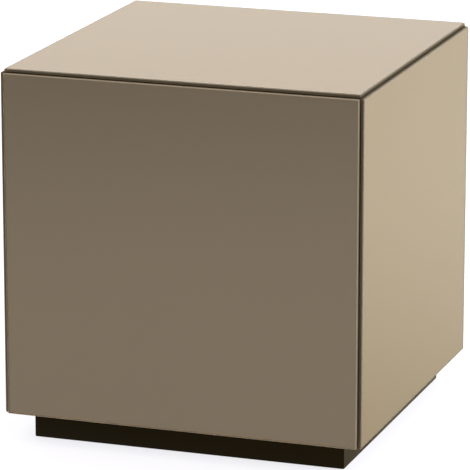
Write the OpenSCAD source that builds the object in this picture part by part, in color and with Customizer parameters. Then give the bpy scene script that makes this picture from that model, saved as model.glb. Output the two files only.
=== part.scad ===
// Mirror-clad cube table on a recessed plinth.
// Six boards make a closed carcass. Five panes of bronze mirror glass are taped to its top and its
// four sides, and a mitred plinth frame with corner blocks is screwed up into its underside.
// Each pane is exactly as large as the carcass face it covers, so every outer edge of the cube is an
// open notch between two arrised panes. Nothing opens: the cube is one rigid assembly.
// The origin is the centre of the footprint on the floor, +Z is up and the front faces -Y.

/* [Body] */
// Width over the left and right panes
body_w = 450; // [360:5:600]
// Depth over the front and back panes
body_d = 450; // [360:5:600]
// Height from the underside of the carcass to the top of the top pane
body_h = 425; // [300:5:600]

/* [Mirror glass] */
// Thickness of each pane
glass_t = 4; // [4:1:6]
// Leg of the 45 degree arris round each pane's outer face
arris = 1; // [0.5:0.1:3]
// Thickness of the mounting tape behind each pane
tape_t = 0.8; // [0.5:0.1:1.5]
// Width of one strip of mounting tape
tape_w = 25; // [12:1:40]
// Number of strips behind each pane
tape_strips = 5; // [3:1:7]
// How far the tape stops short of each edge of the pane
tape_margin = 20; // [10:1:30]

/* [Carcass] */
// Thickness of the carcass boards
board_t = 16; // [15:1:22]
// How far the outermost fixings lie in from each corner of the carcass
fixing_margin = 80; // [60:5:120]

/* [Plinth] */
// Height of the plinth rails
rail_h = 35; // [25:1:80]
// Thickness of the plinth rails
rail_t = 16; // [15:1:22]
// How far the plinth is set back from the outer faces of the panes
plinth_recess = 28.5; // [25:0.5:60]
// Length of each corner block along the rails
block_leg = 50; // [45:1:70]

/* [Glides] */
// Height of the glides under the plinth
glide_h = 2; // [1.5:0.5:5]
// Radius of each glide
glide_r = 11; // [9:1:12]

/* [Hidden] */
$fn = 64;

// Carcass, inside the panes and their tape
skin_t = glass_t + tape_t;
carcass_w = body_w - 2 * skin_t;
carcass_d = body_d - 2 * skin_t;
carcass_h = body_h - skin_t;
carcass_z = glide_h + rail_h;
wall_h = carcass_h - 2 * board_t;
wall_z = carcass_z + board_t;
top_board_z = wall_z + wall_h;
// Mid-lines of the side walls and of the front and back walls
wall_mid_x = carcass_w / 2 - board_t / 2;
wall_mid_y = carcass_d / 2 - board_t / 2;

// Plinth frame
plinth_w = body_w - 2 * plinth_recess;
plinth_d = body_d - 2 * plinth_recess;
plinth_inner_x = plinth_w / 2 - rail_t;
plinth_inner_y = plinth_d / 2 - rail_t;

// Dowels, 8 by 30, sunk further into a board's edge than into a board's face
dowel_r = 3.95;
dowel_len = 30;
dowel_chamfer = 1;
dowel_in_face = 11;
dowel_hole_r = 4;
dowel_hole_relief = 0.6;
fixings_per_wall = 3;
dowels_per_corner = 4;
corner_dowel_margin = 50;

// Countersunk wood screws, head down and point up
bottom_screw_len = board_t + 32;
plinth_screw_len = rail_h + 13;
screw_r = 2.2;
screw_head_r = 4.2;
screw_head_h = 2.8;
screw_rim_h = 0.4;
screw_tip_h = 6;
screw_tip_r = 0.4;
screw_clearance = 0.1;
recess_w = 0.9;
recess_len = 4.6;
recess_depth = 1.8;

// Corner blocks: the flat at each end of the sloping face, the sites of screws and glides
block_end = 20;
block_screw_near = 11;
block_screw_far = 40;
block_glide = 16;

// Glides and their nails
glide_edge_r = 1;
nail_r = 1;
nail_len = 16;
nail_head_r = 3.2;
nail_head_h = 0.7;
nail_head_z = 0.4;
nail_clearance = 0.05;

// How far a cut starts outside the face that it passes through
past = 1;

// Each corner of the plinth as signs of x and y
BACK_RIGHT = [1, 1];
BACK_LEFT = [-1, 1];
FRONT_LEFT = [-1, -1];
FRONT_RIGHT = [1, -1];
CORNERS = [BACK_RIGHT, BACK_LEFT, FRONT_LEFT, FRONT_RIGHT];

// n places spread evenly over span, centred on 0
function spread(n, span) = [for (i = [0:n - 1]) (i / (n - 1) - 0.5) * span];

// Places of the upright fixings, on the mid-lines of the four walls
function wall_sites() = concat(
    [for (x = spread(fixings_per_wall, carcass_w - 2 * fixing_margin), s = [-1, 1])
        [x, s * wall_mid_y]],
    [for (y = spread(fixings_per_wall, carcass_d - 2 * fixing_margin), s = [-1, 1])
        [s * wall_mid_x, y]]
);

// Heights of the dowels that hold a front or back wall between the side walls
function corner_dowel_heights() =
    [for (z = spread(dowels_per_corner, wall_h - 2 * corner_dowel_margin)) wall_z + wall_h / 2 + z];

// Turn that takes the back right corner to another corner
function corner_turn(corner) =
    corner.x > 0 ? (corner.y > 0 ? 0 : 270) : (corner.y > 0 ? 90 : 180);

// ---- mirror panes and tape ----

// Cross-section of a pane: a flat back at 0, and the arris at each end of the outer face
module pane_section(width) {
    half = width / 2;
    polygon([
        [-half, 0], [half, 0], [half, glass_t - arris],
        [half - arris, glass_t], [-half + arris, glass_t], [-half, glass_t - arris]
    ]);
}

// Pane lying on its silvered back at z = 0
module pane(width, height) {
    intersection() {
        rotate([90, 0, 0]) linear_extrude(height, center = true) pane_section(width);
        rotate([90, 0, 90]) linear_extrude(width, center = true) pane_section(height);
    }
}

// Strips of tape lying at z = 0, running along y
module tape(width, height) {
    first_to_last = width - 2 * tape_margin - tape_w;
    for (x = spread(tape_strips, first_to_last))
        translate([x - tape_w / 2, tape_margin - height / 2, 0])
            cube([tape_w, height - 2 * tape_margin, tape_t]);
}

// Stands a flat piece upright against the carcass, reach from the centre, turned from the front
module against_side(turn, reach) {
    rotate([0, 0, turn]) translate([0, -reach, carcass_z + carcass_h / 2]) rotate([90, 0, 0])
        children();
}

module mirror_top() {
    color("#cdbfac") translate([0, 0, carcass_z + carcass_h + tape_t]) pane(carcass_w, carcass_d);
}

module mirror_front() {
    color("#7a6d5d") against_side(0, carcass_d / 2 + tape_t) pane(carcass_w, carcass_h);
}

module mirror_right() {
    color("#bbab93") against_side(90, carcass_w / 2 + tape_t) pane(carcass_d, carcass_h);
}

module mirror_back() {
    color("#bbab93") against_side(180, carcass_d / 2 + tape_t) pane(carcass_w, carcass_h);
}

module mirror_left() {
    color("#bbab93") against_side(270, carcass_w / 2 + tape_t) pane(carcass_d, carcass_h);
}

module tape_top() {
    color("dimgray") translate([0, 0, carcass_z + carcass_h]) tape(carcass_w, carcass_d);
}

module tape_front() {
    color("dimgray") against_side(0, carcass_d / 2) tape(carcass_w, carcass_h);
}

module tape_right() {
    color("dimgray") against_side(90, carcass_w / 2) tape(carcass_d, carcass_h);
}

module tape_back() {
    color("dimgray") against_side(180, carcass_d / 2) tape(carcass_w, carcass_h);
}

module tape_left() {
    color("dimgray") against_side(270, carcass_w / 2) tape(carcass_d, carcass_h);
}

// ---- fixings ----

// Round bar standing on z = 0 with chamfered ends
module dowel() {
    rotate_extrude() polygon([
        [0, 0], [dowel_r - dowel_chamfer, 0], [dowel_r, dowel_chamfer],
        [dowel_r, dowel_len - dowel_chamfer], [dowel_r - dowel_chamfer, dowel_len], [0, dowel_len]
    ]);
}

// Hole for a dowel, a little deeper than the dowel at both ends
module dowel_hole() {
    translate([0, 0, -dowel_hole_relief])
        cylinder(r = dowel_hole_r, h = dowel_len + 2 * dowel_hole_relief);
}

// Outside of a countersunk screw that stands on its head, larger all round by grow
module screw_body(length, grow) {
    rotate_extrude() polygon([
        [0, -grow], [screw_head_r + grow, -grow], [screw_head_r + grow, screw_rim_h],
        [screw_r + grow, screw_head_h], [screw_r + grow, length - screw_tip_h],
        [screw_tip_r + grow, length + grow], [0, length + grow]
    ]);
}

module screw(length) {
    difference() {
        screw_body(length, 0);
        for (turn = [0, 90]) rotate([0, 0, turn])
            translate([-recess_len / 2, -recess_w / 2, -past])
                cube([recess_len, recess_w, recess_depth + past]);
    }
}

// Puts a child at each dowel of one end wall: side is -1 at the front and 1 at the back
module at_corner_dowels(side) {
    start = carcass_w / 2 - board_t + dowel_in_face - dowel_len;
    for (z = corner_dowel_heights(), s = [0, 180])
        translate([0, side * wall_mid_y, z]) rotate([0, 0, s]) translate([start, 0, 0])
            rotate([0, 90, 0]) children();
}

module at_top_dowels() {
    for (site = wall_sites())
        translate([site.x, site.y, top_board_z + dowel_in_face - dowel_len]) children();
}

module at_bottom_screws() {
    for (site = wall_sites()) translate([site.x, site.y, carcass_z]) children();
}

// Puts children at a corner of the plinth, with the rails along their +x and +y sides
module at_corner(corner) {
    translate([corner.x * plinth_inner_x, corner.y * plinth_inner_y, glide_h])
        rotate([0, 0, corner_turn(corner)]) children();
}

module at_block_screws() {
    for (site = [[block_screw_near, block_screw_far], [block_screw_far, block_screw_near]])
        translate([-site.x, -site.y, 0]) children();
}

module at_glide() {
    translate([-block_glide, -block_glide, -glide_h]) children();
}

module top_dowels() {
    color("burlywood") at_top_dowels() dowel();
}

module front_dowels() {
    color("burlywood") at_corner_dowels(-1) dowel();
}

module back_dowels() {
    color("burlywood") at_corner_dowels(1) dowel();
}

module bottom_screws() {
    color("silver") at_bottom_screws() screw(bottom_screw_len);
}

module plinth_screws() {
    color("silver") for (corner = CORNERS)
        at_corner(corner) at_block_screws() screw(plinth_screw_len);
}

// ---- carcass ----

// Every hole in the carcass, drilled through each pair of boards at once
module carcass_holes() {
    at_top_dowels() dowel_hole();
    at_corner_dowels(-1) dowel_hole();
    at_corner_dowels(1) dowel_hole();
    at_bottom_screws() screw_body(bottom_screw_len, screw_clearance);
    for (corner = CORNERS)
        at_corner(corner) at_block_screws() screw_body(plinth_screw_len, screw_clearance);
}

// Board from its lowest corner, drilled
module board(low, size) {
    difference() {
        translate(low) cube(size);
        carcass_holes();
    }
}

// Top or bottom board, over the whole carcass
module flat_board(z) {
    color("#4a4038")
        board([-carcass_w / 2, -carcass_d / 2, z], [carcass_w, carcass_d, board_t]);
}

// Front or back wall, between the side walls
module end_wall(y) {
    color("#5a4e43")
        board([board_t - carcass_w / 2, y, wall_z], [carcass_w - 2 * board_t, board_t, wall_h]);
}

// Left or right wall, over the whole depth
module side_wall(x) {
    color("#5a4e43")
        board([x, -carcass_d / 2, wall_z], [board_t, carcass_d, wall_h]);
}

module board_top() {
    flat_board(top_board_z);
}

module board_bottom() {
    flat_board(carcass_z);
}

module board_front() {
    end_wall(-carcass_d / 2);
}

module board_back() {
    end_wall(carcass_d / 2 - board_t);
}

module board_left() {
    side_wall(-carcass_w / 2);
}

module board_right() {
    side_wall(carcass_w / 2 - board_t);
}

// ---- plinth ----

// Rail along the front of a frame, mitred at both ends: length is its outer side, reach its distance
module rail(length, reach) {
    translate([0, -reach, glide_h]) linear_extrude(rail_h) polygon([
        [-length / 2, 0], [length / 2, 0],
        [length / 2 - rail_t, rail_t], [rail_t - length / 2, rail_t]
    ]);
}

module plinth_front() {
    color("#1c1610") rail(plinth_w, plinth_d / 2);
}

module plinth_right() {
    color("#1c1610") rotate([0, 0, 90]) rail(plinth_d, plinth_w / 2);
}

module plinth_back() {
    color("#1c1610") rotate([0, 0, 180]) rail(plinth_w, plinth_d / 2);
}

module plinth_left() {
    color("#1c1610") rotate([0, 0, 270]) rail(plinth_d, plinth_w / 2);
}

// Block glued into a corner of the frame, drilled for two screws and a nail
module block(corner) {
    color("tan") at_corner(corner) difference() {
        linear_extrude(rail_h) polygon([
            [0, 0], [0, -block_leg], [-block_end, -block_leg],
            [-block_leg, -block_end], [-block_leg, 0]
        ]);
        at_block_screws() screw_body(plinth_screw_len, screw_clearance);
        at_glide() nail_shank_hole();
    }
}

module block_front_left() {
    block(FRONT_LEFT);
}

module block_front_right() {
    block(FRONT_RIGHT);
}

module block_back_left() {
    block(BACK_LEFT);
}

module block_back_right() {
    block(BACK_RIGHT);
}

// ---- glides ----

// Room for a nail's shank, up through a glide and into a block
module nail_shank_hole() {
    cylinder(r = nail_r + nail_clearance, h = nail_head_z + nail_len + nail_clearance);
}

// Nail standing on its head
module nail() {
    translate([0, 0, nail_head_z]) {
        cylinder(r = nail_head_r, h = nail_head_h);
        cylinder(r = nail_r, h = nail_len);
    }
}

// Moulded disc with a rounded lower edge and a counterbore for the nail's head
module glide(corner) {
    head_room = nail_head_z + nail_head_h + nail_clearance;
    color("saddlebrown") at_corner(corner) at_glide() difference() {
        union() {
            translate([0, 0, glide_edge_r]) cylinder(r = glide_r, h = glide_h - glide_edge_r);
            rotate_extrude() {
                square([glide_r - glide_edge_r, glide_edge_r]);
                translate([glide_r - glide_edge_r, glide_edge_r]) intersection() {
                    circle(glide_edge_r);
                    translate([0, -glide_edge_r]) square(glide_edge_r);
                }
            }
        }
        translate([0, 0, -past])
            cylinder(r = nail_head_r + nail_clearance, h = head_room + past);
        nail_shank_hole();
    }
}

module glide_front_left() {
    glide(FRONT_LEFT);
}

module glide_front_right() {
    glide(FRONT_RIGHT);
}

module glide_back_left() {
    glide(BACK_LEFT);
}

module glide_back_right() {
    glide(BACK_RIGHT);
}

module glide_nails() {
    color("silver") for (corner = CORNERS) at_corner(corner) at_glide() nail();
}

mirror_top();
mirror_front();
mirror_back();
mirror_left();
mirror_right();
tape_top();
tape_front();
tape_back();
tape_left();
tape_right();
board_top();
board_bottom();
board_front();
board_back();
board_left();
board_right();
top_dowels();
front_dowels();
back_dowels();
bottom_screws();
plinth_front();
plinth_back();
plinth_left();
plinth_right();
block_front_left();
block_front_right();
block_back_left();
block_back_right();
plinth_screws();
glide_front_left();
glide_front_right();
glide_back_left();
glide_back_right();
glide_nails();
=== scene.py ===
import math

import bmesh
import bpy
from mathutils import Matrix, Vector


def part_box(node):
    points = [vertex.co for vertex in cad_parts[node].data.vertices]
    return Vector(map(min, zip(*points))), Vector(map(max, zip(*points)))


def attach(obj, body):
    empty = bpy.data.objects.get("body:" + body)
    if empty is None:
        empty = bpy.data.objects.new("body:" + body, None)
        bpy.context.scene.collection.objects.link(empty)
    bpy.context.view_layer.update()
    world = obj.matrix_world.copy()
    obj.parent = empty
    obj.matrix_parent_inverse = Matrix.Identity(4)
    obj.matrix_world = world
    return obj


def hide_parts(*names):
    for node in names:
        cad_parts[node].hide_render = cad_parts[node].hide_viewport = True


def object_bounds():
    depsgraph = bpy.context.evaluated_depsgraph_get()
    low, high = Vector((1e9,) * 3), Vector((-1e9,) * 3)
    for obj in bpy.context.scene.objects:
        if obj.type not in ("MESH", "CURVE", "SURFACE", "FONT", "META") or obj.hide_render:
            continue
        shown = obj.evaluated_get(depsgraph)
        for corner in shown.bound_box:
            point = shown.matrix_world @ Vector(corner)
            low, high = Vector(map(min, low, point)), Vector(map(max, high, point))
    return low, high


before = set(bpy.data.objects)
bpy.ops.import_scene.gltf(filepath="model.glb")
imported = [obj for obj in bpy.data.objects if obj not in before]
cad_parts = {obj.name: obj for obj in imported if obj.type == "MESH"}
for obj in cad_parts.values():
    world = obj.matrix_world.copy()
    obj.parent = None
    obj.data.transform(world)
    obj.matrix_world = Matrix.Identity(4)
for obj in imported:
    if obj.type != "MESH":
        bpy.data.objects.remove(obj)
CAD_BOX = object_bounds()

bl_info = {
    "name": "Mirrored Cube Table",
    "version": (1, 0, 0),
    "blender": (4, 5, 0),
    "location": "View3D > Sidebar > Cube Table",
    "description": "Builds a cube side table clad in bronze mirror glass around its packed model",
    "category": "Object",
}

MM = 0.001
BODY = "root"

# Sockets known by their place, as their names occur twice: those of a colour mix and of a range.
SHARE, COLOUR_A, COLOUR_B, MIXED = 0, 6, 7, 2
VALUE, IN_LOW, IN_HIGH, OUT_LOW, OUT_HIGH = range(5)

# How each facet of a pane is worked, kept on the glass as a face attribute.
EDGE_WORK = "edge_work"
FACE, ARRIS, EDGE = 0.0, 0.5, 1.0

# Outward direction of each pane, and the direction that runs across it, seen from outside.
PANES = {
    "top": (Vector((0, 0, 1)), Vector((1, 0, 0))),
    "front": (Vector((0, -1, 0)), Vector((1, 0, 0))),
    "right": (Vector((1, 0, 0)), Vector((0, 1, 0))),
    "back": (Vector((0, 1, 0)), Vector((-1, 0, 0))),
    "left": (Vector((-1, 0, 0)), Vector((0, -1, 0))),
}
WALLS = ("front", "right", "back", "left")
CORNERS = ("front_left", "front_right", "back_left", "back_right")

# Rails are smooth across their rounded edges and sharp at any steeper turn.
SHARP_TURN = math.radians(40)
EDGE_SEGMENTS = 3

# Both ends of a dowel narrow to this share of its radius, over this length. The stations along a
# dowel of 30 mm are a millimetre apart, so the ends are straight cones.
DOWEL_END = 0.75
DOWEL_TAPER = 1 * MM
DOWEL_STATIONS = 31

# Proportions of a wood screw, as shares of its head's radius, and its neck's share of its length.
SCREW_SHAPE = {
    "Radius": 0.52, "Head height": 0.65, "Rim": 0.08, "Tip": 1.4,
    "Slot width": 0.2, "Slot length": 1.1, "Slot depth": 0.8,
}
NECK_SHARE = 0.35
SCREW_SIDES = 32
THREAD_STEPS = 20

# Corners of a CAD mesh that are closer than this are one.
WELD = 0.001 * MM

# The stage, in metres: the floor, how far the camera sees, and place and width of the soft lights.
FLOOR_RADIUS = 60
SIGHT = 200
SOFTBOXES = {"overhead": ((0.6, 0.8, 3.2), 2.5), "side": ((3.0, 1.0, 1.2), 1.6)}

# How far the studio's bright and dim sides, and its walls and ceiling, run into each other. Both are
# sines, of the turn from side to side and of the height.
SIDE_BLEND = 0.8
CEILING_BLEND = 0.15


def linear(hex_colour):
    """Linear RGBA of an sRGB colour written as #rrggbb."""
    channels = [int(hex_colour[i:i + 2], 16) / 255 for i in (1, 3, 5)]
    return (*[c / 12.92 if c <= 0.04045 else ((c + 0.055) / 1.055) ** 2.4 for c in channels], 1.0)


def shaded(tone, factor):
    """A colour made darker or paler by a factor, and never brighter than white."""
    return (*[min(1.0, c * factor) for c in tone[:3]], 1.0)


def add(tree, kind, inputs=None, **settings):
    """Adds a node to a tree. settings are its properties, inputs its sockets' values or links."""
    made = tree.nodes.new(kind)
    for name, value in settings.items():
        setattr(made, name, value)
    for key, value in (inputs or {}).items():
        if isinstance(value, bpy.types.NodeSocket):
            tree.links.new(value, made.inputs[key])
        else:
            made.inputs[key].default_value = value
    return made


# ---------------------------------------------------------------- settings


def colour(name, description, hex_colour):
    """A colour property with an sRGB default."""
    return bpy.props.FloatVectorProperty(
        name=name, description=description, subtype="COLOR", size=4, min=0, soft_max=1,
        default=linear(hex_colour),
    )


def length(name, description, metres):
    """A length property."""
    return bpy.props.FloatProperty(
        name=name, description=description, subtype="DISTANCE", unit="LENGTH", min=0,
        precision=5, default=metres,
    )


def number(name, description, value, **limits):
    """A plain number property."""
    return bpy.props.FloatProperty(name=name, description=description, default=value, **limits)


class PaneSettings(bpy.types.PropertyGroup):
    arris: length("Arris", "Leg of the 45 degree arris round the outer face", 1.0 * MM)
    back_arris: length("Back arris", "Leg of the small arris round the back", 0.4 * MM)
    nip: length("Nipped corner", "How much of each sharp corner of a pane is taken off", 0.8 * MM)
    coat: length("Coats", "Thickness of the silvering with its backing paint", 0.06 * MM)
    tint: colour("Glass tint", "Colour that the body-tinted glass lets through", "#bfa66b")
    density: number("Tint density", "How strongly the tint builds up, per metre", 250, min=0)
    arris_tone: colour("Ground arris", "Tone of the glass on the ground arrises", "#fff4e0")
    edge_tone: colour("Ground edge", "Tone of the glass on the flat ground edges", "#a08c62")
    frost: number("Frost", "Share of light that ground glass scatters back", 0.12, min=0, max=1)
    silver: colour("Silver", "Colour of the silver coat", "#f8f6f0")
    paint: colour("Backing paint", "Colour of the paint behind the silver", "#3b342c")


class CarcassSettings(bpy.types.PropertyGroup):
    board: colour("Board", "Dark-stained fibreboard", "#3a3129")
    board_fibre: colour("Board fibre", "Paler fibres in the stained board", "#4c4136")
    tape: colour("Tape", "Closed-cell foam of the mounting tape", "#3c3c3c")
    beech: colour("Beech", "Wood of the dowels", "#d9b48c")
    flutes: bpy.props.IntProperty(name="Flutes", description="Flutes round a dowel", default=18)
    flute_depth: length("Flute depth", "Depth of a dowel's flutes", 0.25 * MM)
    zinc: colour("Zinc", "Bright zinc plating of the screws", "#c3c6c4")
    thread_pitch: length("Thread pitch", "Rise of the screw thread in one turn", 2.0 * MM)
    thread_depth: length("Thread depth", "Height of the thread over the core", 0.55 * MM)


class PlinthSettings(bpy.types.PropertyGroup):
    lacquer: colour("Lacquer", "Black-brown satin lacquer of the rails", "#0b0804")
    lacquer_sheen: colour("Lacquer sheen", "Warm tone that the lacquer gives its reflections", "#ffd88c")
    edge_radius: length("Edge radius", "Rounding of the lacquered edges", 0.8 * MM)
    pine: colour("Pine", "Wood of the corner blocks", "#d2ab76")
    pine_late: colour("Pine late wood", "Darker lines of the corner blocks' grain", "#a97c48")
    glide: colour("Glide", "Moulded polyethylene of the glides", "#3a2416")
    nail: colour("Nail", "Drawn steel of the glides' nails", "#a5a5a2")


class StageSettings(bpy.types.PropertyGroup):
    azimuth: number("Azimuth", "Camera's turn from the front towards the right, in degrees", 19.1)
    elevation: number("Elevation", "Camera's height above the horizon, in degrees", 14.7)
    distance: length("Distance", "From the camera to the point that it looks at", 4.63)
    focal: number("Focal length", "Camera's focal length, in millimetres", 288.1, min=1)
    aim_left: length("Aim left", "How far left of the table's centre the camera aims", 7.4 * MM)
    aim_low: length("Aim low", "How far below the table's centre the camera aims", 7.8 * MM)
    floor: colour("Floor", "Pale seamless floor", "#f1f1f6")
    glow: number("Floor glow", "Light from under the pale floor, softens shadows", 0.87, min=0)
    backdrop: colour("Backdrop", "What shows past the end of the floor", "#f4f2ef")
    ceiling: colour("Ceiling", "Wide soft light overhead, as the panes show it", "#fdf6ea")
    wall_back: colour("Lit wall", "Studio wall behind the table, as the panes show it", "#f7f2e1")
    wall_front: colour("Dim wall", "Studio wall before the table, as the panes show it", "#7c7e7f")
    sweep_back: colour("Lit floor", "Floor behind the table, as the panes show it", "#b9ad8d")
    sweep_front: colour("Dim floor", "Floor before the table, as the panes show it", "#aaadb4")
    bright_side: number("Bright side", "Its turn from behind the table to the right, degrees", 45)
    foot_back: number("Lit wall's foot", "Height of its foot, as a sine", -0.30, min=-1, max=1)
    foot_front: number("Dim wall's foot", "Height of its foot, as a sine", -0.21, min=-1, max=1)
    blend: number("Foot's blend", "How softly floor and wall meet, as a sine", 0.07, min=0, max=1)
    studio: number("Studio strength", "Brightness of the studio round the table", 1.36, min=0)
    key: number("Key light", "Power of the large soft light overhead, in watts", 20, min=0)
    side: number("Side light", "Power of the soft light on the right, in watts", 110, min=0)


# ---------------------------------------------------------------- materials


def new_material(name):
    """An empty material, its node tree and its output node."""
    material = bpy.data.materials.new(name)
    material.use_nodes = True
    material.node_tree.nodes.clear()
    return material, material.node_tree, add(material.node_tree, "ShaderNodeOutputMaterial")


def finish_surface(tree, output, base, bump=None, **constants):
    """Ends a material in one Principled shader. bump is a height, a strength and a depth in metres."""
    inputs = {name.replace("_", " "): value for name, value in constants.items()}
    inputs["Base Color"] = base
    if bump:
        height, strength, depth = bump
        relief = add(
            tree, "ShaderNodeBump", {"Height": height, "Strength": strength, "Distance": depth}
        )
        inputs["Normal"] = relief.outputs["Normal"]
    shader = add(tree, "ShaderNodeBsdfPrincipled", inputs)
    tree.links.new(shader.outputs["BSDF"], output.inputs["Surface"])


def bronze_glass(settings):
    """Body-tinted bronze float glass: fire-polished faces, and edges ground with a diamond wheel.

    The tint is in the glass, so it deepens with the light's way through it: once there and back
    gives the panes their mid bronze, and an edge, where light is lost along the pane, reads nearly
    black. Grinding leaves the arrises and edges frosted, so that they catch light from all round.
    The wheel's marks are finer than a tenth of a millimetre, and are drawn 2 mm wide to show.
    """
    material, tree, output = new_material("bronze_float_glass")
    place = add(tree, "ShaderNodeTexCoord").outputs["Object"]
    marks = add(
        tree, "ShaderNodeTexNoise", {"Vector": place, "Scale": 1 / (2 * MM), "Detail": 3.0}
    )
    work = add(tree, "ShaderNodeAttribute", attribute_name=EDGE_WORK).outputs["Fac"]
    ground = add(tree, "ShaderNodeMapRange", {VALUE: work, IN_LOW: FACE, IN_HIGH: ARRIS})
    flat = add(tree, "ShaderNodeMapRange", {VALUE: work, IN_LOW: ARRIS, IN_HIGH: EDGE})
    clear = add(
        tree, "ShaderNodeMix",
        {SHARE: ground.outputs[0], COLOUR_A: linear("#ffffff"), COLOUR_B: settings.arris_tone},
        data_type="RGBA",
    )
    tone = add(
        tree, "ShaderNodeMix",
        {SHARE: flat.outputs[0], COLOUR_A: clear.outputs[MIXED], COLOUR_B: settings.edge_tone},
        data_type="RGBA",
    )
    frost = add(
        tree, "ShaderNodeMapRange",
        {VALUE: ground.outputs[0], OUT_LOW: 1.0, OUT_HIGH: 1.0 - settings.frost},
    )
    uneven = add(
        tree, "ShaderNodeMapRange",
        {VALUE: marks.outputs["Fac"], IN_LOW: 0.3, IN_HIGH: 0.7, OUT_LOW: 0.6, OUT_HIGH: 0.85},
    )
    roughness = add(
        tree, "ShaderNodeMath", {0: ground.outputs[0], 1: uneven.outputs[0]},
        operation="MULTIPLY",
    )
    shader = add(
        tree, "ShaderNodeBsdfPrincipled",
        {
            "Base Color": tone.outputs[MIXED], "Roughness": roughness.outputs[0], "IOR": 1.52,
            "Transmission Weight": frost.outputs[0],
        },
    )
    tint = add(
        tree, "ShaderNodeVolumeAbsorption",
        {"Color": settings.tint, "Density": settings.density},
    )
    tree.links.new(shader.outputs["BSDF"], output.inputs["Surface"])
    tree.links.new(tint.outputs["Volume"], output.inputs["Volume"])
    return material


def silver_coat(settings):
    """Silver laid on the back of the glass from a bath: a full mirror with the faintest clouds."""
    material, tree, output = new_material("silver_coat")
    place = add(tree, "ShaderNodeTexCoord").outputs["Object"]
    clouds = add(
        tree, "ShaderNodeTexNoise", {"Vector": place, "Scale": 1 / (150 * MM), "Detail": 2.0}
    )
    tone = add(
        tree, "ShaderNodeMix",
        {
            SHARE: clouds.outputs["Fac"], COLOUR_A: shaded(settings.silver, 0.97),
            COLOUR_B: tuple(settings.silver),
        },
        data_type="RGBA",
    )
    finish_surface(tree, output, tone.outputs[MIXED], Metallic=1.0, Roughness=0.0)
    return material


def backing_paint(settings):
    """Baked copper-free mirror paint: flat, slightly dusty, with a roller's fine texture."""
    material, tree, output = new_material("mirror_backing_paint")
    place = add(tree, "ShaderNodeTexCoord").outputs["Object"]
    roller = add(
        tree, "ShaderNodeTexNoise", {"Vector": place, "Scale": 1 / (1.2 * MM), "Detail": 2.0}
    )
    tone = add(
        tree, "ShaderNodeMix",
        {
            SHARE: roller.outputs["Fac"], COLOUR_A: tuple(settings.paint),
            COLOUR_B: shaded(settings.paint, 1.3),
        },
        data_type="RGBA",
    )
    bump = (roller.outputs["Fac"], 0.3, 0.05 * MM)
    finish_surface(tree, output, tone.outputs[MIXED], bump, Roughness=0.6)
    return material


def stained_board(settings):
    """Medium-density fibreboard stained dark: matt, felted fibres with scattered paler ones."""
    material, tree, output = new_material("stained_fibreboard")
    place = add(tree, "ShaderNodeTexCoord").outputs["Object"]
    fibres = add(
        tree, "ShaderNodeTexNoise",
        {"Vector": place, "Scale": 1 / (1.5 * MM), "Detail": 5.0, "Roughness": 0.7},
    )
    patches = add(
        tree, "ShaderNodeTexNoise", {"Vector": place, "Scale": 1 / (35 * MM), "Detail": 2.0}
    )
    share = add(
        tree, "ShaderNodeMath", {0: fibres.outputs["Fac"], 1: patches.outputs["Fac"]},
        operation="MULTIPLY",
    )
    tone = add(
        tree, "ShaderNodeMix",
        {
            SHARE: share.outputs[0], COLOUR_A: tuple(settings.board),
            COLOUR_B: tuple(settings.board_fibre),
        },
        data_type="RGBA",
    )
    bump = (fibres.outputs["Fac"], 0.4, 0.1 * MM)
    finish_surface(tree, output, tone.outputs[MIXED], bump, Roughness=0.85)
    return material


def foam_tape(settings):
    """Closed-cell polyethylene foam tape: matt and finely pitted by its cells."""
    material, tree, output = new_material("foam_mounting_tape")
    place = add(tree, "ShaderNodeTexCoord").outputs["Object"]
    cells = add(tree, "ShaderNodeTexVoronoi", {"Vector": place, "Scale": 1 / (0.6 * MM)})
    tone = add(
        tree, "ShaderNodeMix",
        {
            SHARE: cells.outputs["Distance"], COLOUR_A: tuple(settings.tape),
            COLOUR_B: shaded(settings.tape, 0.6),
        },
        data_type="RGBA",
    )
    bump = (cells.outputs["Distance"], 0.5, 0.1 * MM)
    finish_surface(tree, output, tone.outputs[MIXED], bump, Roughness=0.9)
    return material


def beech(settings):
    """Turned beech: pale pink-brown with the short dark flecks of its rays."""
    material, tree, output = new_material("beech")
    place = add(tree, "ShaderNodeTexCoord").outputs["Object"]
    stretched = add(tree, "ShaderNodeMapping", {"Vector": place, "Scale": (1.0, 1.0, 0.2)})
    flecks = add(
        tree, "ShaderNodeTexNoise",
        {"Vector": stretched.outputs[0], "Scale": 1 / (0.8 * MM), "Detail": 3.0},
    )
    share = add(
        tree, "ShaderNodeMapRange", {VALUE: flecks.outputs["Fac"], IN_LOW: 0.55, IN_HIGH: 0.75}
    )
    tone = add(
        tree, "ShaderNodeMix",
        {
            SHARE: share.outputs[0], COLOUR_A: tuple(settings.beech),
            COLOUR_B: shaded(settings.beech, 0.6),
        },
        data_type="RGBA",
    )
    bump = (flecks.outputs["Fac"], 0.2, 0.05 * MM)
    finish_surface(tree, output, tone.outputs[MIXED], bump, Roughness=0.6)
    return material


def pine(settings):
    """Planed softwood: straight growth lines about 3 mm apart, running along the block."""
    material, tree, output = new_material("planed_pine")
    place = add(tree, "ShaderNodeTexCoord").outputs["Object"]
    rings = add(
        tree, "ShaderNodeTexWave",
        {"Vector": place, "Scale": 0.05 / MM, "Distortion": 2.5, "Detail": 2.0},
        wave_type="BANDS", bands_direction="X", wave_profile="SAW",
    )
    tone = add(
        tree, "ShaderNodeMix",
        {
            SHARE: rings.outputs["Fac"], COLOUR_A: tuple(settings.pine),
            COLOUR_B: tuple(settings.pine_late),
        },
        data_type="RGBA",
    )
    bump = (rings.outputs["Fac"], 0.2, 0.08 * MM)
    finish_surface(tree, output, tone.outputs[MIXED], bump, Roughness=0.65)
    return material


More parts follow.
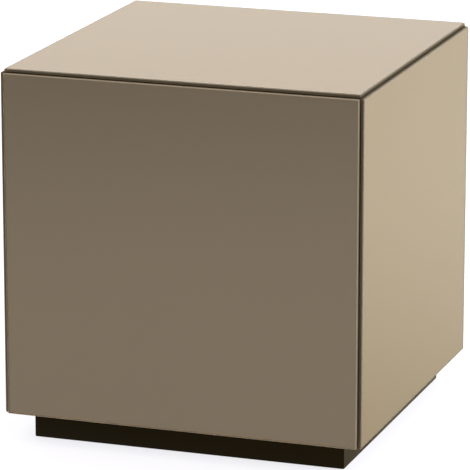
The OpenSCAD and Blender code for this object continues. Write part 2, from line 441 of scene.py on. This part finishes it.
def lacquer(settings):
    """Sprayed black-brown satin lacquer on board, with the soft orange peel that a spray gun leaves."""
    material, tree, output = new_material("satin_black_brown_lacquer")
    place = add(tree, "ShaderNodeTexCoord").outputs["Object"]
    peel = add(
        tree, "ShaderNodeTexNoise", {"Vector": place, "Scale": 1 / (2.5 * MM), "Detail": 1.0}
    )
    rubbed = add(
        tree, "ShaderNodeTexNoise", {"Vector": place, "Scale": 1 / (40 * MM), "Detail": 3.0}
    )
    sheen = add(
        tree, "ShaderNodeMapRange",
        {VALUE: rubbed.outputs["Fac"], IN_LOW: 0.3, IN_HIGH: 0.7, OUT_LOW: 0.32, OUT_HIGH: 0.42},
    )
    tone = add(
        tree, "ShaderNodeMix",
        {
            SHARE: rubbed.outputs["Fac"], COLOUR_A: tuple(settings.lacquer),
            COLOUR_B: shaded(settings.lacquer, 1.5),
        },
        data_type="RGBA",
    )
    bump = (peel.outputs["Fac"], 0.15, 0.05 * MM)
    finish_surface(
        tree, output, tone.outputs[MIXED], bump, Roughness=sheen.outputs[0], IOR=1.45,
        Specular_IOR_Level=0.2, Specular_Tint=settings.lacquer_sheen,
    )
    return material


def zinc_plate(settings):
    """Bright zinc plating on steel: bluish grey, with the soft mottling of its crystals."""
    material, tree, output = new_material("zinc_plated_steel")
    place = add(tree, "ShaderNodeTexCoord").outputs["Object"]
    mottle = add(
        tree, "ShaderNodeTexNoise", {"Vector": place, "Scale": 1 / (0.7 * MM), "Detail": 3.0}
    )
    roughness = add(
        tree, "ShaderNodeMapRange",
        {VALUE: mottle.outputs["Fac"], IN_LOW: 0.3, IN_HIGH: 0.7, OUT_LOW: 0.22, OUT_HIGH: 0.38},
    )
    tone = add(
        tree, "ShaderNodeMix",
        {
            SHARE: mottle.outputs["Fac"], COLOUR_A: tuple(settings.zinc),
            COLOUR_B: shaded(settings.zinc, 0.85),
        },
        data_type="RGBA",
    )
    finish_surface(tree, output, tone.outputs[MIXED], Metallic=1.0, Roughness=roughness.outputs[0])
    return material


def drawn_steel(settings):
    """Drawn steel wire: grey, with fine die lines along the nail."""
    material, tree, output = new_material("drawn_steel")
    place = add(tree, "ShaderNodeTexCoord").outputs["Object"]
    along = add(tree, "ShaderNodeMapping", {"Vector": place, "Scale": (1.0, 1.0, 0.05)})
    lines = add(
        tree, "ShaderNodeTexNoise",
        {"Vector": along.outputs[0], "Scale": 1 / (0.3 * MM), "Detail": 2.0},
    )
    tone = add(
        tree, "ShaderNodeMix",
        {
            SHARE: lines.outputs["Fac"], COLOUR_A: tuple(settings.nail),
            COLOUR_B: shaded(settings.nail, 0.75),
        },
        data_type="RGBA",
    )
    finish_surface(tree, output, tone.outputs[MIXED], Metallic=1.0, Roughness=0.35)
    return material


def polyethylene(settings):
    """Moulded brown polyethylene: waxy, with a fine spark-eroded texture."""
    material, tree, output = new_material("brown_polyethylene")
    place = add(tree, "ShaderNodeTexCoord").outputs["Object"]
    grain = add(
        tree, "ShaderNodeTexNoise", {"Vector": place, "Scale": 1 / (0.4 * MM), "Detail": 2.0}
    )
    tone = add(
        tree, "ShaderNodeMix",
        {
            SHARE: grain.outputs["Fac"], COLOUR_A: tuple(settings.glide),
            COLOUR_B: shaded(settings.glide, 1.25),
        },
        data_type="RGBA",
    )
    bump = (grain.outputs["Fac"], 0.3, 0.05 * MM)
    finish_surface(tree, output, tone.outputs[MIXED], bump, Roughness=0.5)
    return material


def floor_paper(settings):
    """Seamless pale studio paper: matt, with a barely visible tooth.

    Most of its brightness is its own glow, so the paper itself is only a third as bright.
    """
    material, tree, output = new_material("studio_floor")
    place = add(tree, "ShaderNodeTexCoord").outputs["Object"]
    tooth = add(
        tree, "ShaderNodeTexNoise", {"Vector": place, "Scale": 1 / (3 * MM), "Detail": 2.0}
    )
    paper = shaded(settings.floor, 0.3)
    tone = add(
        tree, "ShaderNodeMix",
        {SHARE: tooth.outputs["Fac"], COLOUR_A: paper, COLOUR_B: shaded(paper, 0.97)},
        data_type="RGBA",
    )
    finish_surface(
        tree, output, tone.outputs[MIXED], Roughness=0.95, Emission_Color=settings.floor,
        Emission_Strength=settings.glow,
    )
    return material


# ---------------------------------------------------------------- mesh work


def new_piece(name, mesh, slot, *replaced):
    """Puts a finished mesh in the scene as a piece that rides on the table's one body."""
    piece = bpy.data.objects.new(name, mesh)
    bpy.context.scene.collection.objects.link(piece)
    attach(piece, BODY)
    if replaced:
        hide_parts(*replaced)
    return piece


def give_material(node, material):
    """Gives a CAD node its finish."""
    node.data.materials.clear()
    node.data.materials.append(material)


def pane_place(side):
    """Matrix from a pane's own frame, with its back at z = 0, to the table's, and the pane's size."""
    outward, across = PANES[side]
    up = outward.cross(across)
    low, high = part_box("mirror_" + side)
    size = high - low
    centre = (low + high) / 2
    width, height, thick = (abs(size.dot(axis)) for axis in (across, up, outward))
    back = centre - outward * thick / 2
    place = Matrix.Translation(back) @ Matrix((across, up, outward)).transposed().to_4x4()
    return place, width, height, thick


def ring(mesh, width, height, inset, nip, z):
    """Eight vertices round a rectangle with nipped corners, inset on every side, at height z."""
    x, y = width / 2 - inset, height / 2 - inset
    points = [
        (x - nip, -y), (x, nip - y), (x, y - nip), (x - nip, y),
        (nip - x, y), (-x, y - nip), (-x, nip - y), (nip - x, -y),
    ]
    return [mesh.verts.new((px, py, z)) for px, py in points]


def stacked_rings(mesh, rings):
    """Closes a stack of rings, lowest first, into a solid, and returns its walls ring by ring."""
    mesh.faces.new(list(reversed(rings[0])))
    mesh.faces.new(rings[-1])
    walls = []
    for lower, upper in zip(rings, rings[1:]):
        walls.append([
            mesh.faces.new((lower[i - 1], lower[i], upper[i], upper[i - 1]))
            for i in range(len(lower))
        ])
    return walls


def to_mesh(work, name, place=None):
    """Turns bmesh work into a mesh with outward normals, put in its place."""
    bmesh.ops.recalc_face_normals(work, faces=work.faces)
    mesh = bpy.data.meshes.new(name)
    work.to_mesh(mesh)
    work.free()
    if place:
        mesh.transform(place)
    return mesh


def glass_mesh(side, settings):
    """A pane with its large outer arris, its flat ground edge and its small back arris."""
    place, width, height, thick = pane_place(side)
    outer, back, nip = settings.arris, settings.back_arris, settings.nip
    base = settings.coat / 2
    work = bmesh.new()
    edge_work = work.faces.layers.float.new(EDGE_WORK)
    levels = ((back, base), (0, base + back), (0, thick - outer), (outer, thick))
    rings = [ring(work, width, height, inset, nip, z) for inset, z in levels]
    for wall, finish in zip(stacked_rings(work, rings), (EDGE, EDGE, ARRIS)):
        for face in wall:
            face[edge_work] = finish
    return to_mesh(work, "glass_" + side, place)


def silver_mesh(side, settings, materials):
    """The silver coat on a pane's back with its paint behind it, as one thin sheet."""
    place, width, height, _ = pane_place(side)
    work = bmesh.new()
    levels = ((settings.back_arris, 0), (settings.back_arris, settings.coat))
    rings = [ring(work, width, height, inset, settings.nip, z) for inset, z in levels]
    stacked_rings(work, rings)
    work.normal_update()
    for face in work.faces:
        face.material_index = 0 if face.calc_center_median().z > settings.coat * 0.9 else 1
    mesh = to_mesh(work, "silvering_" + side, place)
    for material in materials:
        mesh.materials.append(material)
    return mesh


def rail_mesh(side, settings, material):
    """A plinth rail mitred at both ends, with its lacquered edges softly rounded."""
    outward, across = PANES[side]
    low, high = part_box("plinth_" + side)
    size = high - low
    long, thick = (abs(size.dot(axis)) for axis in (across, outward))
    reach = abs(((low + high) / 2).dot(outward)) + thick / 2
    work = bmesh.new()
    outline = [(-long / 2, 0), (long / 2, 0), (long / 2 - thick, -thick), (thick - long / 2, -thick)]
    rings = [[work.verts.new((x, z, y)) for x, y in outline] for z in (low.z, high.z)]
    stacked_rings(work, rings)
    bmesh.ops.bevel(
        work, geom=work.edges, offset=settings.edge_radius, segments=EDGE_SEGMENTS, profile=0.5,
        affect="EDGES", clamp_overlap=True,
    )
    up = Vector((0, 0, 1))
    place = Matrix.Translation(outward * reach) @ Matrix((across, up, outward)).transposed().to_4x4()
    mesh = to_mesh(work, "rail_" + side, place)
    mesh.materials.append(material)
    mesh.shade_smooth()
    mesh.set_sharp_from_angle(angle=SHARP_TURN)
    return mesh


# ---------------------------------------------------------------- geometry nodes


def geometry_tree(name, sockets):
    """A geometry node tree with a geometry input and output and more inputs by name and kind."""
    tree = bpy.data.node_groups.new(name, "GeometryNodeTree")
    tree.interface.new_socket("Geometry", in_out="OUTPUT", socket_type="NodeSocketGeometry")
    tree.interface.new_socket("Geometry", in_out="INPUT", socket_type="NodeSocketGeometry")
    for label, kind in sockets.items():
        tree.interface.new_socket(label, in_out="INPUT", socket_type="NodeSocket" + kind)
    return tree, add(tree, "NodeGroupInput").outputs, add(tree, "NodeGroupOutput")


def grow(name, tree, sites, values):
    """Runs a tree on a mesh of points and returns the result as a plain mesh."""
    points = bpy.data.meshes.new(name + "_sites")
    points.from_pydata(sites, [], [])
    host = bpy.data.objects.new(name + "_host", points)
    bpy.context.scene.collection.objects.link(host)
    modifier = host.modifiers.new(name, "NODES")
    modifier.node_group = tree
    for item in tree.interface.items_tree:
        if item.in_out == "INPUT" and item.name in values:
            modifier[item.identifier] = values[item.name]
    made = host.evaluated_get(bpy.context.evaluated_depsgraph_get())
    mesh = bpy.data.meshes.new_from_object(made)
    bpy.data.objects.remove(host)
    bpy.data.meshes.remove(points)
    mesh.name = name
    return mesh


def realized(tree, group_out, instances, material):
    """Ends a tree: instances become real and take their material."""
    real = add(tree, "GeometryNodeRealizeInstances", {"Geometry": instances})
    painted = add(
        tree, "GeometryNodeSetMaterial", {"Geometry": real.outputs[0], "Material": material}
    )
    tree.links.new(painted.outputs[0], group_out.inputs[0])


def dowel_tree():
    """Fluted dowels with tapered ends: a star-shaped section swept along each dowel."""
    tree, given, group_out = geometry_tree(
        "fluted_dowels",
        {
            "Length": "Float", "Radius": "Float", "Flutes": "Int", "Flute depth": "Float",
            "Taper": "Float", "Turn": "Rotation", "Material": "Material",
        },
    )
    top = add(tree, "ShaderNodeCombineXYZ", {"Z": given["Length"]})
    line = add(tree, "GeometryNodeCurvePrimitiveLine", {"End": top.outputs[0]})
    stations = add(
        tree, "GeometryNodeResampleCurve",
        {"Curve": line.outputs[0], "Count": DOWEL_STATIONS},
    )
    along = add(tree, "GeometryNodeSplineParameter").outputs["Length"]
    left = add(tree, "ShaderNodeMath", {0: given["Length"], 1: along}, operation="SUBTRACT")
    near = add(tree, "ShaderNodeMath", {0: along, 1: left.outputs[0]}, operation="MINIMUM")
    share = add(
        tree, "ShaderNodeMapRange",
        {VALUE: near.outputs[0], IN_HIGH: given["Taper"], OUT_LOW: DOWEL_END},
    )
    tapered = add(
        tree, "GeometryNodeSetCurveRadius",
        {"Curve": stations.outputs[0], "Radius": share.outputs[0]},
    )
    inner = add(
        tree, "ShaderNodeMath", {0: given["Radius"], 1: given["Flute depth"]},
        operation="SUBTRACT",
    )
    star = add(
        tree, "GeometryNodeCurveStar",
        {"Points": given["Flutes"], "Inner Radius": inner.outputs[0],
         "Outer Radius": given["Radius"]},
    )
    swept = add(
        tree, "GeometryNodeCurveToMesh",
        {"Curve": tapered.outputs[0], "Profile Curve": star.outputs[0], "Fill Caps": True},
    )
    placed = add(
        tree, "GeometryNodeInstanceOnPoints",
        {"Points": given["Geometry"], "Instance": swept.outputs[0], "Rotation": given["Turn"]},
    )
    realized(tree, group_out, placed.outputs[0], given["Material"])
    return tree


def screw_tree():
    """Countersunk wood screws: a recessed head, a plain neck, and a helical thread on a core."""
    tree, given, group_out = geometry_tree(
        "wood_screws",
        {
            "Length": "Float", "Radius": "Float", "Head radius": "Float", "Head height": "Float",
            "Rim": "Float", "Tip": "Float", "Neck": "Float", "Pitch": "Float", "Depth": "Float",
            "Slot width": "Float", "Slot length": "Float", "Slot depth": "Float",
            "Material": "Material",
        },
    )
    core = add(
        tree, "ShaderNodeMath", {0: given["Radius"], 1: given["Depth"]}, operation="SUBTRACT"
    ).outputs[0]
    tip_start = add(
        tree, "ShaderNodeMath", {0: given["Length"], 1: given["Tip"]}, operation="SUBTRACT"
    ).outputs[0]

    def turned(from_z, to_z, lower, upper):
        """A solid between two heights, with a radius at each."""
        depth = add(tree, "ShaderNodeMath", {0: to_z, 1: from_z}, operation="SUBTRACT")
        at = add(tree, "ShaderNodeCombineXYZ", {"Z": from_z})
        cone = add(
            tree, "GeometryNodeMeshCone",
            {"Vertices": SCREW_SIDES, "Radius Bottom": lower, "Radius Top": upper,
             "Depth": depth.outputs[0]},
        )
        return add(
            tree, "GeometryNodeTransform",
            {"Geometry": cone.outputs[0], "Translation": at.outputs[0]},
        ).outputs[0]

    cross = []
    for across, along in (("Slot width", "Slot length"), ("Slot length", "Slot width")):
        size = add(
            tree, "ShaderNodeCombineXYZ",
            {"X": given[across], "Y": given[along], "Z": given["Slot depth"]},
        )
        cross.append(add(tree, "GeometryNodeMeshCube", {"Size": size.outputs[0]}).outputs[0])
    rim = turned(0.0, given["Rim"], given["Head radius"], given["Head radius"])
    cone = turned(given["Rim"], given["Head height"], given["Head radius"], given["Radius"])
    neck = turned(given["Head height"], given["Neck"], given["Radius"], given["Radius"])
    shaft = turned(given["Neck"], tip_start, core, core)
    tip = turned(tip_start, given["Length"], core, 0.0)
    whole = add(tree, "GeometryNodeMeshBoolean", operation="UNION", solver="EXACT")
    for solid in (rim, cone, neck, shaft, tip):
        tree.links.new(solid, whole.inputs[1])
    recessed = add(
        tree, "GeometryNodeMeshBoolean", {0: whole.outputs[0]}, operation="DIFFERENCE",
        solver="EXACT",
    )
    for cutter in cross:
        tree.links.new(cutter, recessed.inputs[1])

    threaded = add(
        tree, "ShaderNodeMath", {0: tip_start, 1: given["Neck"]}, operation="SUBTRACT"
    ).outputs[0]
    turns = add(
        tree, "ShaderNodeMath", {0: threaded, 1: given["Pitch"]}, operation="DIVIDE"
    ).outputs[0]
    helix = add(
        tree, "GeometryNodeCurveSpiral",
        {"Resolution": THREAD_STEPS, "Rotations": turns, "Start Radius": core, "End Radius": core,
         "Height": threaded},
    )
    ridge = add(
        tree, "GeometryNodeCurvePrimitiveCircle", {"Resolution": 3, "Radius": given["Depth"]},
        mode="RADIUS",
    )
    thread = add(
        tree, "GeometryNodeCurveToMesh",
        {"Curve": helix.outputs[0], "Profile Curve": ridge.outputs[0], "Fill Caps": True},
    )
    thread_at = add(tree, "ShaderNodeCombineXYZ", {"Z": given["Neck"]})
    wound = add(
        tree, "GeometryNodeTransform",
        {"Geometry": thread.outputs[0], "Translation": thread_at.outputs[0]},
    )
    screw = add(tree, "GeometryNodeJoinGeometry")
    for solid in (recessed.outputs[0], wound.outputs[0]):
        tree.links.new(solid, screw.inputs[0])
    placed = add(
        tree, "GeometryNodeInstanceOnPoints",
        {"Points": given["Geometry"], "Instance": screw.outputs[0]},
    )
    realized(tree, group_out, placed.outputs[0], given["Material"])
    return tree


def islands(node):
    """Lowest and highest corners of each separate solid in a CAD node."""
    work = bmesh.new()
    work.from_mesh(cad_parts[node].data)
    bmesh.ops.remove_doubles(work, verts=work.verts, dist=WELD)
    boxes, unseen = [], set(work.verts)
    while unseen:
        island, waiting = set(), [unseen.pop()]
        while waiting:
            vertex = waiting.pop()
            island.add(vertex)
            for link in vertex.link_edges:
                other = link.other_vert(vertex)
                if other in unseen:
                    unseen.discard(other)
                    waiting.append(other)
        corners = [[pick(v.co[i] for v in island) for i in range(3)] for pick in (min, max)]
        boxes.append([Vector(c) for c in corners])
    work.free()
    return sorted(boxes, key=lambda box: tuple(round(c, 5) for c in box[0]))


# ---------------------------------------------------------------- operators


class CUBETABLE_OT_stage(bpy.types.Operator):
    """Add the pale floor, the soft studio light and the camera"""

    bl_idname = "cube_table.stage"
    bl_label = "Stage"

    def execute(self, context):
        settings = context.scene.cube_table_stage
        self.add_floor(context, settings)
        self.light_studio(context, settings)
        self.add_camera(context, settings)
        context.scene.view_settings.view_transform = "Standard"
        return {"FINISHED"}

    def add_floor(self, context, settings):
        """A wide floor that the panes don't reflect: they show the studio's sweep instead."""
        work = bmesh.new()
        bmesh.ops.create_circle(work, cap_ends=True, radius=FLOOR_RADIUS, segments=96)
        mesh = to_mesh(work, "floor")
        mesh.materials.append(floor_paper(settings))
        floor = bpy.data.objects.new("floor", mesh)
        context.scene.collection.objects.link(floor)
        floor.visible_glossy = False
        floor.visible_transmission = False

    def light_studio(self, context, settings):
        """A studio that is bright behind the table and dim at its front left, blended smoothly."""
        world = bpy.data.worlds.new("studio")
        context.scene.world = world
        world.use_nodes = True
        tree = world.node_tree
        tree.nodes.clear()
        towards = add(tree, "ShaderNodeTexCoord").outputs["Generated"]
        axis = add(tree, "ShaderNodeSeparateXYZ", {"Vector": towards})
        turn = math.radians(settings.bright_side)
        facing = add(
            tree, "ShaderNodeVectorMath", {0: towards, 1: (math.sin(turn), math.cos(turn), 0)},
            operation="DOT_PRODUCT",
        )
        to_back = add(
            tree, "ShaderNodeMapRange",
            {VALUE: facing.outputs["Value"], IN_LOW: -SIDE_BLEND, IN_HIGH: SIDE_BLEND},
            interpolation_type="SMOOTHSTEP",
        )
        foot = add(
            tree, "ShaderNodeMapRange",
            {VALUE: to_back.outputs[0], OUT_LOW: settings.foot_front, OUT_HIGH: settings.foot_back},
        )
        above = add(
            tree, "ShaderNodeMath", {0: axis.outputs["Z"], 1: foot.outputs[0]},
            operation="SUBTRACT",
        )
        over_foot = add(
            tree, "ShaderNodeMapRange",
            {VALUE: above.outputs[0], IN_LOW: -settings.blend, IN_HIGH: settings.blend},
            interpolation_type="SMOOTHSTEP",
        )
        overhead = add(
            tree, "ShaderNodeMapRange",
            {VALUE: axis.outputs["Z"], IN_LOW: -CEILING_BLEND, IN_HIGH: CEILING_BLEND},
            interpolation_type="SMOOTHSTEP",
        )
        sweep = add(
            tree, "ShaderNodeMix",
            {
                SHARE: to_back.outputs[0], COLOUR_A: settings.sweep_front,
                COLOUR_B: settings.sweep_back,
            },
            data_type="RGBA",
        )
        wall = add(
            tree, "ShaderNodeMix",
            {
                SHARE: to_back.outputs[0], COLOUR_A: settings.wall_front,
                COLOUR_B: settings.wall_back,
            },
            data_type="RGBA",
        )
        below = add(
            tree, "ShaderNodeMix",
            {
                SHARE: over_foot.outputs[0], COLOUR_A: sweep.outputs[MIXED],
                COLOUR_B: wall.outputs[MIXED],
            },
            data_type="RGBA",
        )
        around = add(
            tree, "ShaderNodeMix",
            {
                SHARE: overhead.outputs[0], COLOUR_A: below.outputs[MIXED],
                COLOUR_B: settings.ceiling,
            },
            data_type="RGBA",
        )
        reflected = add(
            tree, "ShaderNodeBackground",
            {"Color": around.outputs[MIXED], "Strength": settings.studio},
        )
        seen = add(
            tree, "ShaderNodeBackground",
            {"Color": tuple(settings.backdrop), "Strength": 1.0},
        )
        path = add(tree, "ShaderNodeLightPath")
        mixed = add(
            tree, "ShaderNodeMixShader",
            {0: path.outputs["Is Camera Ray"], 1: reflected.outputs[0], 2: seen.outputs[0]},
        )
        add(tree, "ShaderNodeOutputWorld", {"Surface": mixed.outputs[0]})

        for name, watts in (("overhead", settings.key), ("side", settings.side)):
            self.add_softbox(context, name, *SOFTBOXES[name], watts)

    def add_softbox(self, context, name, place, width, watts):
        """A round soft light aimed at the table, which only matt and frosted surfaces show."""
        lamp = bpy.data.lights.new(name, "AREA")
        lamp.shape = "DISK"
        lamp.size = width
        lamp.energy = watts
        softbox = bpy.data.objects.new(name, lamp)
        softbox.location = place
        softbox.rotation_euler = Vector(place).to_track_quat("Z", "Y").to_euler()
        softbox.visible_glossy = False
        softbox.visible_transmission = False
        context.scene.collection.objects.link(softbox)

    def add_camera(self, context, settings):
        """A long lens, turned towards the right pane and looking a little down."""
        turn, rise = math.radians(settings.azimuth), math.radians(settings.elevation)
        back = Vector((
            math.sin(turn) * math.cos(rise), -math.cos(turn) * math.cos(rise), math.sin(rise),
        ))
        right = Vector((math.cos(turn), math.sin(turn), 0))
        up = back.cross(right)
        low, high = CAD_BOX
        target = (low + high) / 2 - right * settings.aim_left - up * settings.aim_low
        camera = bpy.data.objects.new("camera", bpy.data.cameras.new("camera"))
        camera.data.lens = settings.focal
        camera.data.clip_end = SIGHT
        camera.location = target + back * settings.distance
        camera.rotation_euler = (-back).to_track_quat("-Z", "Y").to_euler()
        context.scene.collection.objects.link(camera)
        context.scene.camera = camera


class CUBETABLE_OT_panes(bpy.types.Operator):
    """Build the five mirror panes, each as arrised glass with its silvering behind it"""

    bl_idname = "cube_table.panes"
    bl_label = "Mirror panes"

    def execute(self, context):
        settings = context.scene.cube_table_panes
        glass = bronze_glass(settings)
        coats = (silver_coat(settings), backing_paint(settings))
        for side in PANES:
            pane = glass_mesh(side, settings)
            pane.materials.append(glass)
            new_piece("glass_" + side, pane, "bronze_mirror", "mirror_" + side)
            coat = silver_mesh(side, settings, coats)
            new_piece("silvering_" + side, coat, "bronze_mirror", "mirror_" + side)
        return {"FINISHED"}


class CUBETABLE_OT_carcass(bpy.types.Operator):
    """Finish the six carcass boards and the mounting tape on them"""

    bl_idname = "cube_table.carcass"
    bl_label = "Carcass and tape"

    def execute(self, context):
        settings = context.scene.cube_table_carcass
        board, tape = stained_board(settings), foam_tape(settings)
        for side in (*PANES, "bottom"):
            give_material(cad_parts["board_" + side], board)
        for side in PANES:
            give_material(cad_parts["tape_" + side], tape)
        return {"FINISHED"}


class CUBETABLE_OT_dowels(bpy.types.Operator):
    """Build the fluted beech dowels of the carcass"""

    bl_idname = "cube_table.dowels"
    bl_label = "Dowels"

    def execute(self, context):
        settings = context.scene.cube_table_carcass
        tree, wood = dowel_tree(), beech(settings)
        for node in ("top_dowels", "front_dowels", "back_dowels"):
            # The dowels of a node are alike and lie the same way, so the first gives their size.
            boxes = islands(node)
            low, high = boxes[0]
            size = high - low
            lying = size.x > size.z
            long, thick = (size.x, size.z) if lying else (size.z, size.x)
            sites = [
                (a.x, (a.y + b.y) / 2, (a.z + b.z) / 2) if lying
                else ((a.x + b.x) / 2, (a.y + b.y) / 2, a.z)
                for a, b in boxes
            ]
            mesh = grow(
                node, tree, sites,
                {
                    "Length": long, "Radius": thick / 2, "Flutes": settings.flutes,
                    "Flute depth": settings.flute_depth, "Taper": DOWEL_TAPER,
                    "Turn": (0.0, math.pi / 2 if lying else 0.0, 0.0), "Material": wood,
                },
            )
            new_piece("fluted_" + node, mesh, "beech_dowel", node)
        return {"FINISHED"}


class CUBETABLE_OT_screws(bpy.types.Operator):
    """Build the countersunk screws of the carcass and the plinth"""

    bl_idname = "cube_table.screws"
    bl_label = "Screws"

    def execute(self, context):
        settings = context.scene.cube_table_carcass
        tree, plate = screw_tree(), zinc_plate(settings)
        for node in ("bottom_screws", "plinth_screws"):
            # The screws of a node are alike and driven upwards, each with its head at its box's foot.
            boxes = islands(node)
            low, high = boxes[0]
            head, long = (high.x - low.x) / 2, high.z - low.z
            sites = [((a.x + b.x) / 2, (a.y + b.y) / 2, a.z) for a, b in boxes]
            mesh = grow(
                node, tree, sites,
                {
                    **{part: head * share for part, share in SCREW_SHAPE.items()},
                    "Length": long, "Head radius": head, "Neck": long * NECK_SHARE,
                    "Pitch": settings.thread_pitch, "Depth": settings.thread_depth,
                    "Material": plate,
                },
            )
            new_piece("threaded_" + node, mesh, "zinc_steel", node)
        return {"FINISHED"}


class CUBETABLE_OT_plinth(bpy.types.Operator):
    """Build the lacquered plinth rails and finish the corner blocks"""

    bl_idname = "cube_table.plinth"
    bl_label = "Plinth"

    def execute(self, context):
        settings = context.scene.cube_table_plinth
        coating, wood = lacquer(settings), pine(settings)
        for side in WALLS:
            mesh = rail_mesh(side, settings, coating)
            new_piece("rail_" + side, mesh, "plinth_lacquer", "plinth_" + side)
        for corner in CORNERS:
            give_material(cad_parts["block_" + corner], wood)
        return {"FINISHED"}


class CUBETABLE_OT_glides(bpy.types.Operator):
    """Finish the glides and their nails"""

    bl_idname = "cube_table.glides"
    bl_label = "Glides"

    def execute(self, context):
        settings = context.scene.cube_table_plinth
        plastic = polyethylene(settings)
        for corner in CORNERS:
            give_material(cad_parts["glide_" + corner], plastic)
        give_material(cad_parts["glide_nails"], drawn_steel(settings))
        return {"FINISHED"}


OPERATORS = (
    CUBETABLE_OT_stage, CUBETABLE_OT_panes, CUBETABLE_OT_carcass, CUBETABLE_OT_dowels,
    CUBETABLE_OT_screws, CUBETABLE_OT_plinth, CUBETABLE_OT_glides,
)
GROUPS = {
    "cube_table_panes": PaneSettings,
    "cube_table_carcass": CarcassSettings,
    "cube_table_plinth": PlinthSettings,
    "cube_table_stage": StageSettings,
}


class CUBETABLE_PT_sidebar(bpy.types.Panel):
    """Lists the table's pieces and their settings"""

    bl_label = "Mirrored Cube Table"
    bl_space_type = "VIEW_3D"
    bl_region_type = "UI"
    bl_category = "Cube Table"

    def draw(self, context):
        for operator in OPERATORS:
            self.layout.operator(operator.bl_idname)
        for name, group in GROUPS.items():
            box = self.layout.box()
            for setting in group.__annotations__:
                box.prop(getattr(context.scene, name), setting)


def register():
    for cls in (*GROUPS.values(), *OPERATORS, CUBETABLE_PT_sidebar):
        bpy.utils.register_class(cls)
    for name, group in GROUPS.items():
        setattr(bpy.types.Scene, name, bpy.props.PointerProperty(type=group))


def unregister():
    for name in GROUPS:
        delattr(bpy.types.Scene, name)
    for cls in reversed((*GROUPS.values(), *OPERATORS, CUBETABLE_PT_sidebar)):
        bpy.utils.unregister_class(cls)


def main():
    register()
    for operator in OPERATORS:
        group, name = operator.bl_idname.split(".")
        getattr(getattr(bpy.ops, group), name)()


if __name__ == "__main__":
    main()
